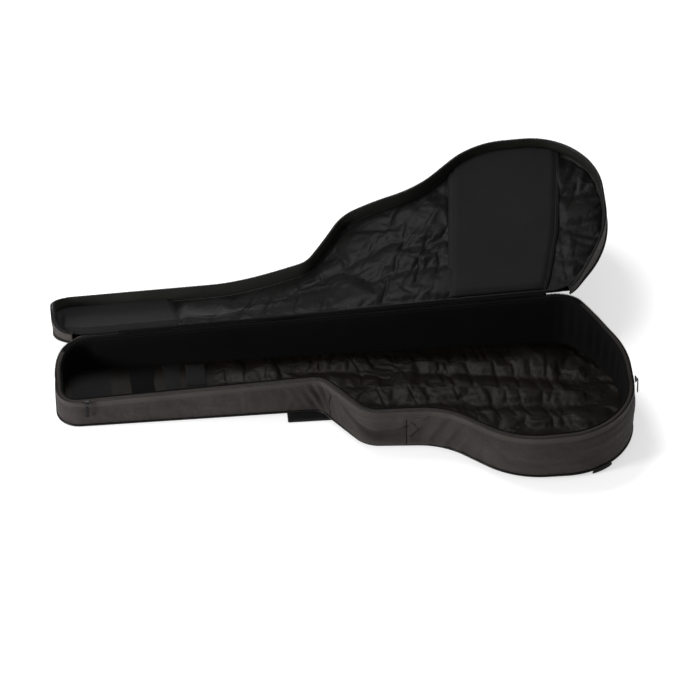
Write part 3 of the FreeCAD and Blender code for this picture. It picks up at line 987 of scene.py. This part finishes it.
# %% Hinge roll
hinge_run = np.linspace(-0.430, 0.402, 140)
hinge_path = hinge_point + hinge_axis * (hinge_run / hinge_axis[0])[:, None]
hinge_path = hinge_path + np.stack(
    [
        np.zeros(140), 0.4 * mm * cloud(hinge_run / 0.05, hinge_run * 0, 51),
        0.3 * mm * cloud(hinge_run / 0.06, hinge_run * 0, 52)
    ],
    axis=-1
)
hinge_roll = tube_along("hinge_cloth_roll", hinge_path, 2.9 * mm, band_cloth, closed=False, sides=14)
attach(hinge_roll, "tray")
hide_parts("hinge_fabric")

# %% [markdown]
# ## Guards inside the lid
# Two plain woven panels protect the satin: one where the strings and bridge touch, one at the
# headstock. They are stitched flat along their sides, so they stay smooth while the satin puckers.

# %% Guards
u = np.linspace(0, 1, 70)
t = np.linspace(0, 1, 80)[:, None]
left = lambda yy: np.interp(yy, [-0.16, -0.072, 0.173, 0.19], [0.247, 0.240, 0.213, 0.211])
right = lambda yy: np.interp(
    yy, [-0.17, -0.128, 0.038, 0.154, 0.193], [0.471, 0.468, 0.445, 0.416, 0.402]
)
gyy = np.broadcast_to(t * 0.3 - 0.12, (80, 70)).copy()
for _ in range(4):
    gxx = left(gyy) + (right(gyy) - left(gyy)) * u
    near, far = edge_of_plan(6.5 * mm, gxx)
    gyy = near + (np.minimum(far, 0.184) - near) * t
edge_u = np.minimum(u, 1 - u)[None, :] * 0.21
gz = (
    hinge_level(gxx) - 4.0 * mm - 5.0 * mm * smooth(0, 18 * mm, edge_u) - 0.5 * mm
    * cloud(gxx / 0.05, gyy / 0.09, 61)
)
gz = hinge_level(gxx) + (gz - hinge_level(gxx)) * smooth(0.0, 20 * mm, 0.19 - gyy)
guard_grid = np.stack([gxx, gyy, gz], axis=-1)
bridge_panel = thicken(grid_mesh("bridge_guard_cloth", guard_grid, guard_cloth, flip=True), 1.0 * mm)
open_up(bridge_panel)
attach(bridge_panel, "lid")
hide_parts("bridge_guard")
for number, line in enumerate((guard_grid[:, 2], guard_grid[:, -3])):
    places, ahead = spread(line - [0, 0, 0.4 * mm], 4.0 * mm, closed=False)
    down = np.broadcast_to([0.0, 0.0, -1.0], places.shape)
    side_stitches = open_up(row_of(
        f"bridge_guard_stitches_{number + 1}", places, ahead, down,
        (2.8 * mm, 0.6 * mm, 0.9 * mm), thread
    ))
    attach(side_stitches, "lid")

u = np.linspace(0, 1, 70)
hyy = np.broadcast_to(t * 0.15 + 0.035, (80, 70)).copy()
hxx = -0.548 + (np.interp(hyy, [0.033, 0.192], [-0.321, -0.304]) + 0.548) * u
near, far = edge_of_plan(6.5 * mm, hxx)
hyy = near + (np.minimum(far, 0.186) - near) * t
near, far = edge_of_plan(0.0, hxx)
from_edge = np.minimum(np.minimum(hyy - near, far - hyy), hxx + 0.555)
over_wall = smooth(0.07, 0.095, hyy) * (1 - smooth(16 * mm, 26 * mm, from_edge))
depth = (
    1.0 * mm + 5.0 * mm * smooth(0, 12 * mm, (1 - u) * 0.24) + 0.5 * mm
    * cloud(hxx / 0.06, hyy / 0.05, 63)
)
hz = hinge_level(hxx) - 0.4 * mm - depth * (1 - over_wall)
head_panel = thicken(
    grid_mesh("headstock_guard_cloth", np.stack([hxx, hyy, hz], axis=-1), guard_cloth, flip=True),
    1.0 * mm
)
open_up(head_panel)
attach(head_panel, "lid_neck")
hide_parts("headstock_guard")


# %% [markdown]
# ## Pads, webbing and small hard parts
# Each small sewn part starts as a block at its own size, gets its corners rounded in plan, and its
# top face inset and raised in steps for the crown that padding gives.

# %% Sewn pad tool
def rounded_ring(low, high, corner, inset, level):
    """Points round a rectangle with rounded corners, moved in by inset, at one level."""
    half_x = (high.x - low.x) / 2 - inset
    half_y = (high.y - low.y) / 2 - inset
    radius = min(max(corner - inset, 0.2 * mm), half_x, half_y)
    ring = []
    for sx, sy, turn in ((1, 1, 0), (-1, 1, 90), (-1, -1, 180), (1, -1, 270)):
        for k in np.radians(np.linspace(0, 90, 7) + turn):
            ring.append((
                (low.x + high.x) / 2 + sx * (half_x - radius) + radius * math.cos(k),
                (low.y + high.y) / 2 + sy * (half_y - radius) + radius * math.sin(k),
                level,
            ))
    return ring


def crowned(name, low, high, corner, crown, material, both=False):
    """A crowned block in the box from low to high, in metres, with rounded corners in plan."""
    low, high = Vector(low), Vector(high)
    half = min(high.x - low.x, high.y - low.y) / 2
    under = crown if both else 0.3 * mm
    soft_edge = min(0.35 * (high.z - low.z), 1.0 * mm)
    rings = []
    steps = (0.93, 0.75, 0.5, 0.3, 0.15)
    for share in steps:
        rings.append(rounded_ring(
            low, high, corner, half * share,
            low.z + under * (1 - share ** 0.5) * 0.9 if both else low.z
        ))
    rings.append(rounded_ring(low, high, corner, soft_edge, low.z + under))
    rings.append(rounded_ring(low, high, corner, 0.0, low.z + under + soft_edge))
    rings.append(rounded_ring(low, high, corner, 0.0, high.z - crown - soft_edge))
    rings.append(rounded_ring(low, high, corner, soft_edge, high.z - crown))
    for share in steps[::-1]:
        rings.append(rounded_ring(low, high, corner, half * share, high.z - crown * (1 - share ** 0.5)))
    piece = grid_mesh(name, np.array(rings), material, around=True)
    only(piece)
    bpy.ops.object.mode_set(mode="EDIT")
    bpy.ops.mesh.select_all(action="SELECT")
    bpy.ops.mesh.fill_holes(sides=0)
    bpy.ops.mesh.normals_make_consistent(inside=False)
    bpy.ops.object.mode_set(mode="OBJECT")
    return piece


def pad(name, low, high, corner, crown, material, body, nodes=(), both=False):
    """A crowned block that already lies where it belongs, riding on its body."""
    piece = crowned(name, low, high, corner, crown, material, both)
    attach(piece, body)
    if nodes:
        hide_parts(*nodes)
    return piece


def stitched_box(name, low, high, level, body, up=1.0):
    """Rows of stitches round a rectangle with a cross, as sewn on webbing ends."""
    x0, y0 = low
    x1, y1 = high
    runs = [
        ((x0, y0), (x1, y0)), ((x1, y0), (x1, y1)), ((x1, y1), (x0, y1)), ((x0, y1), (x0, y0)),
        ((x0, y0), (x1, y1)), ((x0, y1), (x1, y0))
    ]
    all_places, all_ahead = [], []
    for a, b in runs:
        places, ahead = spread(np.array([(*a, level), (*b, level)]), 3.0 * mm, closed=False)
        all_places.append(places)
        all_ahead.append(ahead)
    places = np.concatenate(all_places)
    out = np.broadcast_to([0.0, 0.0, up], places.shape)
    piece = row_of(name, places, np.concatenate(all_ahead), out, (2.2 * mm, 0.6 * mm, 0.8 * mm), thread)
    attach(piece, body)
    return piece


# %% Floor patches and neck strap
for node, material, slot in (
    ("head_floor_patch", guard_cloth, "guard_cloth"),
    ("nut_floor_patch", band_cloth, "black_cloth"),
    ("neck_floor_pad", guard_cloth, "guard_cloth")
):
    low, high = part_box(node)
    patch = pad(
        node + "_cloth", (low.x, low.y, low.z), (high.x, high.y, high.z + 1.5 * mm), 6 * mm,
        2.0 * mm, material, "tray", (node,)
    )
low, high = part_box("neck_strap_base")
pad(
    "neck_strap_base_web", low, (high.x, high.y, high.z + 0.5 * mm), 2 * mm, 0.8 * mm, webbing,
    "tray", ("neck_strap_base",)
)
low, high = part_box("neck_strap_flap")
pad(
    "neck_strap_flap_web", low, (high.x, high.y, high.z + 0.5 * mm), 3 * mm, 0.8 * mm, webbing,
    "neck_strap_flap", ("neck_strap_flap",)
)

# %% Straps under the back
pad(
    "strap_loop_web", (-0.115, 0.016, 1 * mm), (-0.008, 0.052, 8 * mm), 3 * mm, 1.0 * mm,
    webbing, "tray"
)
low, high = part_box("strap_yoke")
yoke = pad(
    "strap_yoke_pad", low, high, 6 * mm, 2.5 * mm, band_cloth, "tray",
    ("strap_yoke",), both=True
)
low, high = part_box("back_support_pad")
support = pad(
    "back_support_cushion", low, high, 20 * mm, 2.5 * mm, band_cloth, "tray",
    ("back_support_pad",), both=True
)
for side in ("near", "far"):
    body = "shoulder_strap_" + side
    low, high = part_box(body)
    strap = pad(
        body + "_pad", low, high, 20 * mm, 2.6 * mm, band_cloth, body, (body,),
        both=True
    )
    web_low, web_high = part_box("strap_web_" + side)
    pad(
        "strap_web_" + side + "_cloth", web_low, web_high, 1.0 * mm, 0.4 * mm, webbing, body,
        ("strap_web_" + side,)
    )
    y_middle = (low.y + high.y) / 2
    pad(
        "strap_rail_" + side, (low.x + 6 * mm, y_middle - 12 * mm, low.z - 0.8 * mm),
        (high.x, y_middle + 12 * mm, low.z + 0.4 * mm), 1 * mm, 0.3 * mm, webbing, body,
    )
    for number, place in enumerate((0.1, 0.35, 0.6, 0.85)):
        x0 = low.x + (high.x - low.x) * place
        stitched_box(
            f"strap_rail_{side}_tack_{number + 1}", (x0, y_middle - 10 * mm),
            (x0 + 20 * mm, y_middle + 10 * mm), low.z - 1.0 * mm, body, -1.0
        )

# %% [markdown]
# ## Carry handle
# The handle is a sleeve of padded cloth round two webbing ends that are sewn to the hinge side.

# %% Handle
low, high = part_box("handle_grip")
middle = (low + high) / 2
count = 60
run = np.linspace(0, 1, count)
waist = 1 - 0.10 * np.sin(np.pi * run) + 0.0 * run
ends = np.sqrt(np.clip(1 - (np.abs(run - 0.5) * 2) ** 14, 0.02, 1))
a = np.linspace(0, 2 * np.pi, 36, endpoint=False)[:, None]
half_y, half_z = (high.y - low.y) / 2, (high.z - low.z) / 2
seam = 1 - 0.08 * np.exp(-(((a + np.pi / 2 + np.pi) % (2 * np.pi) - np.pi) / 0.09) ** 2)
ribs = 1 + 0.012 * cloud(np.broadcast_to(run * 22, (36, count)), a * 3 + run * 0, 71)
grid = np.stack([
    np.broadcast_to(low.x + (high.x - low.x) * run, (36, count)),
    middle.y + half_y * np.cos(a) * waist * ends * seam * ribs,
    middle.z + half_z * np.sin(a) * waist * ends * seam * ribs,
], axis=-1)
grip = grid_mesh("handle_grip_sleeve", grid, band_cloth, across=True, flip=False)
only(grip)
bpy.ops.object.mode_set(mode="EDIT")
bpy.ops.mesh.select_all(action="SELECT")
bpy.ops.mesh.fill_holes(sides=36)
bpy.ops.mesh.normals_make_consistent(inside=False)
bpy.ops.object.mode_set(mode="OBJECT")
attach(grip, "carry_handle")
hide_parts("handle_grip")
for side in ("left", "right"):
    for node, body in (("handle_web_" + side, "carry_handle"), ("handle_anchor_" + side, "tray")):
        low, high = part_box(node)
        pad(node + "_cloth", low, high, 0.8 * mm, 0.3 * mm, webbing, body, (node,))

# %% Pocket on the lid
x0, x1, y0, y1 = 0.245, 0.450, -0.110, 0.060
ux = np.linspace(0, 1, 60)
uy = np.linspace(0, 1, 50)[:, None]
px = x0 + (x1 - x0) * ux + 0 * uy
py = y0 + (y1 - y0) * uy + 0 * ux
rim_in = np.minimum(np.minimum(px - x0, x1 - px), np.minimum(py - y0, y1 - py))
corner_x = np.abs(px - (x0 + x1) / 2) - ((x1 - x0) / 2 - 24 * mm)
corner_y = np.abs(py - (y0 + y1) / 2) - ((y1 - y0) / 2 - 24 * mm)
in_corner = (corner_x > 0) & (corner_y > 0)
reach = np.hypot(np.maximum(corner_x, 0), np.maximum(corner_y, 0))
scale = np.where(
    in_corner & (reach > 1e-6), np.maximum(corner_x, corner_y) / np.maximum(reach, 1e-6), 1.0
)
px = np.where(
    in_corner,
    np.sign(px - (x0 + x1) / 2) * (((x1 - x0) / 2 - 24 * mm) + corner_x * scale) + (x0 + x1) / 2,
    px
)
py = np.where(
    in_corner,
    np.sign(py - (y0 + y1) / 2) * (((y1 - y0) / 2 - 24 * mm) + corner_y * scale) + (y0 + y1) / 2,
    py
)
zip_dip = 1.2 * mm * bump(py, 0.038, 0.006)
pz = (
    hinge_level(px) + 18 * mm + 0.6 * mm + 4.6 * mm * smooth(0, 9 * mm, rim_in) - zip_dip + 0.5
    * mm * cloud(px / 0.05, py / 0.05, 81) * smooth(0, 20 * mm, rim_in)
)
pocket = thicken(grid_mesh("pocket_cloth", np.stack([px, py, pz], axis=-1), outer_cloth), 0.8 * mm)
open_up(pocket)
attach(pocket, "lid")
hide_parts("pocket_panel")

# %% [markdown]
# ## Sliders, pulls and buckles
# A zip slider is cast zinc with a bridge that holds a small ring, and a moulded tab hangs from the
# ring. They are modelled once in their own axes and placed three times. The buckle is a ladder
# lock, a frame with cross bars that the webbing threads through.

# %% Zip sliders and pulls
def place_on(piece, origin, length_way, width_way, out_way):
    """Moves a piece from its own axes, X along its length and Z outwards, to its place."""
    points = np.array([p.co for p in piece.data.vertices])
    axes = np.stack([length_way, width_way, out_way])
    piece.data.vertices.foreach_set("co", (np.array(origin) + points @ axes).ravel())
    piece.data.update()
    return piece


def zip_pull(name, node, body, top_middle, length, ways, opened=False):
    """A wire ring and a ribbed tab that hang from top_middle along the first of ways."""
    ring_line = rounded_ring(
        Vector((0.2 * mm, -2.6 * mm, 0)), Vector((9 * mm, 2.6 * mm, 0)), 2.5 * mm, 0.0, 1.1 * mm
    )
    pull_ring = tube_along(name + "_ring", ring_line, 0.75 * mm, zip_lacquer)
    tab = crowned(
        name + "_tab", (7 * mm, -3.6 * mm, 0.1 * mm), (length, 3.6 * mm, 2.1 * mm), 2.6 * mm,
        0.5 * mm, bumper_rubber, both=True
    )
    rib_at = np.linspace(12 * mm, length - 4 * mm, 6)
    rib_places = np.stack([rib_at, np.zeros(6), np.full(6, 2.1 * mm)], axis=-1)
    across = np.broadcast_to([0.0, 1.0, 0.0], rib_places.shape)
    up = np.broadcast_to([0.0, 0.0, 1.0], rib_places.shape)
    ribs = row_of(name + "_ribs", rib_places, across, up, (4.6 * mm, 0.6 * mm, 1.2 * mm), bumper_rubber)
    for part in (pull_ring, tab, ribs):
        place_on(part, top_middle, *ways)
        if opened:
            open_up(part)
        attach(part, body)
    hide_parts(node)


def zip_slider(name, node, body, middle, ways, opened=False):
    """A cast body with rounded ends and the bridge that carries the ring."""
    cast = crowned(
        name + "_body", (-7 * mm, -5 * mm, -1.6 * mm), (7 * mm, 5 * mm, 1.6 * mm), 3.5 * mm,
        0.5 * mm, zip_lacquer, both=True
    )
    arch = np.radians(np.linspace(0, 180, 15))
    bridge_line = np.stack(
        [5 * mm * np.cos(arch), 0 * arch, 1.3 * mm + 1.6 * mm * np.sin(arch)], axis=-1
    )
    bridge = tube_along(name + "_bridge", bridge_line, 0.7 * mm, zip_lacquer, closed=False)
    for part in (cast, bridge):
        place_on(part, middle, *ways)
        if opened:
            open_up(part)
        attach(part, body)
    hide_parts(node)


low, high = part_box("tail_zip_slider")
zip_slider(
    "tail_slider", "tail_zip_slider", "tail_zip_slider",
    ((low.x + high.x) / 2, (low.y + high.y) / 2, (low.z + high.z) / 2),
    ((0, 1, 0), (0, 0, 1), (1, 0, 0))
)
low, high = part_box("tail_zip_pull")
zip_pull(
    "tail_pull", "tail_zip_pull", "tail_zip_pull", (low.x, (low.y + high.y) / 2, high.z),
    high.z - low.z, ((0, 0, -1), (0, 1, 0), (1, 0, 0))
)
low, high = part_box("head_zip_slider")
zip_slider(
    "head_slider", "head_zip_slider", "head_zip_slider",
    ((low.x + high.x) / 2, (low.y + high.y) / 2, (low.z + high.z) / 2),
    ((1, 0, 0), (0, 0, 1), (0, -1, 0))
)
low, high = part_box("head_zip_pull")
zip_pull(
    "head_pull", "head_zip_pull", "head_zip_pull", ((low.x + high.x) / 2, high.y, high.z),
    high.z - low.z, ((0, 0, -1), (-1, 0, 0), (0, -1, 0))
)
pocket_top = 18 * mm + 5 * mm + 1 * mm + 1.2 * mm + 0.8 * mm
slope = (1.0, 0.0, float(taper))
zip_slider(
    "pocket_slider", "pocket_zip_slider", "pocket_zip_slider",
    (0.266, 0.038, float(hinge_level(0.266)) + pocket_top + 1.7 * mm),
    (slope, (0, 1, 0), (0, 0, 1)), opened=True
)
zip_pull(
    "pocket_pull", "pocket_zip_pull", "pocket_zip_pull",
    (0.275, 0.038, float(hinge_level(0.275)) + pocket_top + 0.8 * mm), 32 * mm,
    (slope, (0, 1, 0), (0, 0, 1)), opened=True
)

# %% Pocket zip
pocket_x = np.linspace(0.253, 0.442, 80)
pocket_v = np.linspace(-1, 1, 7)[:, None]
level = hinge_level(pocket_x) + 23.4 * mm
grid = np.stack(
    [
        np.broadcast_to(pocket_x, (7, 80)), 0.038 + 8.5 * mm * pocket_v + 0 * pocket_x,
        level + 0.5 * mm * (1 - np.abs(pocket_v))
    ],
    axis=-1
)
pocket_tape = thicken(open_up(grid_mesh("pocket_tape_cloth", grid, rim_cloth)), 0.6 * mm)
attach(pocket_tape, "lid")
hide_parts("pocket_zip_tape")
places, ahead = spread(
    np.stack([pocket_x, np.full(80, 0.038), level + 1.1 * mm], axis=-1), 2.4 * mm, closed=False
)
pocket_coil = open_up(row_of(
    "pocket_coil", places, ahead, np.broadcast_to([0.0, 0.0, 1.0], places.shape),
    (1.4 * mm, 1.4 * mm, 3.6 * mm), coil_nylon
))
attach(pocket_coil, "lid")
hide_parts("pocket_zip_teeth")

# %% Ladder-lock buckles
for side in ("near", "far"):
    low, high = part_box("strap_buckle_" + side)
    bars = [
        ("rail_a", low.x, high.x, low.y, low.y + 4 * mm),
        ("rail_b", low.x, high.x, high.y - 4 * mm, high.y)
    ]
    bars += [
        (f"bar_{k + 1}", x_bar, x_bar + 4 * mm, low.y, high.y)
        for k, x_bar in enumerate((low.x, low.x + 11 * mm, low.x + 18 * mm, high.x - 4 * mm))
    ]
    for word, bar_x0, bar_x1, bar_y0, bar_y1 in bars:
        nodes = ("strap_buckle_" + side,) if word == "rail_a" else ()
        pad(
            f"buckle_{side}_{word}", (bar_x0, bar_y0, low.z), (bar_x1, bar_y1, high.z), 1.6 * mm,
            0.5 * mm, buckle_plastic, "shoulder_strap_" + side, nodes,
            both=True
        )

# %% Moulded feet
low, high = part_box("neck_foot")
pad(
    "neck_foot_moulding", low, high, 14 * mm, 1.5 * mm, bumper_rubber, "tray",
    ("neck_foot",), both=True
)
for node in ("spine_bumper_head", "spine_bumper_tail"):
    low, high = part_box(node)
    for slot in frame["nodes"][node].material_slots:
        slot.material = bumper_rubber
    rib_at = np.linspace(low.x + 8 * mm, high.x - 8 * mm, 9)
    places = np.stack([rib_at, np.full(9, high.y), np.full(9, (low.z + high.z) / 2)], axis=-1)
    ribs = row_of(
        node + "_ribs", places, np.broadcast_to([0.0, 0.0, 1.0], places.shape),
        np.broadcast_to([0.0, 1.0, 0.0], places.shape),
        ((high.z - low.z) * 0.7, 1.2 * mm, 4 * mm), bumper_rubber
    )
    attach(ribs, "tray")

# %% Floor and light
bpy.ops.mesh.primitive_plane_add(size=12.0, location=(0, 0, 0))
studio_floor = bpy.context.object
studio_floor.name = "studio_floor"
white, white_tree, white_shader = new_material("studio_white", 0.9, specular=0.0)
white_shader.inputs["Base Color"].default_value = linear("#f4f4f4")
white_shader.inputs["Emission Color"].default_value = linear("#ffffff")
white_shader.inputs["Emission Strength"].default_value = 0.55
studio_floor.data.materials.append(white)

world = bpy.data.worlds.new("studio")
bpy.context.scene.world = world
world.use_nodes = True
world.node_tree.nodes["Background"].inputs["Color"].default_value = linear("#ffffff")
world.node_tree.nodes["Background"].inputs["Strength"].default_value = 0.30


def soft_light(name, place, aim, size, power):
    light = bpy.data.lights.new(name, "AREA")
    light.size = size
    light.energy = power
    lamp = bpy.data.objects.new(name, light)
    bpy.context.collection.objects.link(lamp)
    lamp.location = place
    lamp.rotation_euler = (Vector(aim) - Vector(place)).to_track_quat("-Z", "Y").to_euler()


soft_light("top_light", (-0.5, 1.1, 2.3), (0.0, 0.1, 0.0), 1.1, 40.0)
soft_light("front_light", (-2.4, -1.0, 0.8), (0.05, -0.05, 0.05), 0.6, 66.0)
bpy.context.scene.view_settings.view_transform = "Standard"
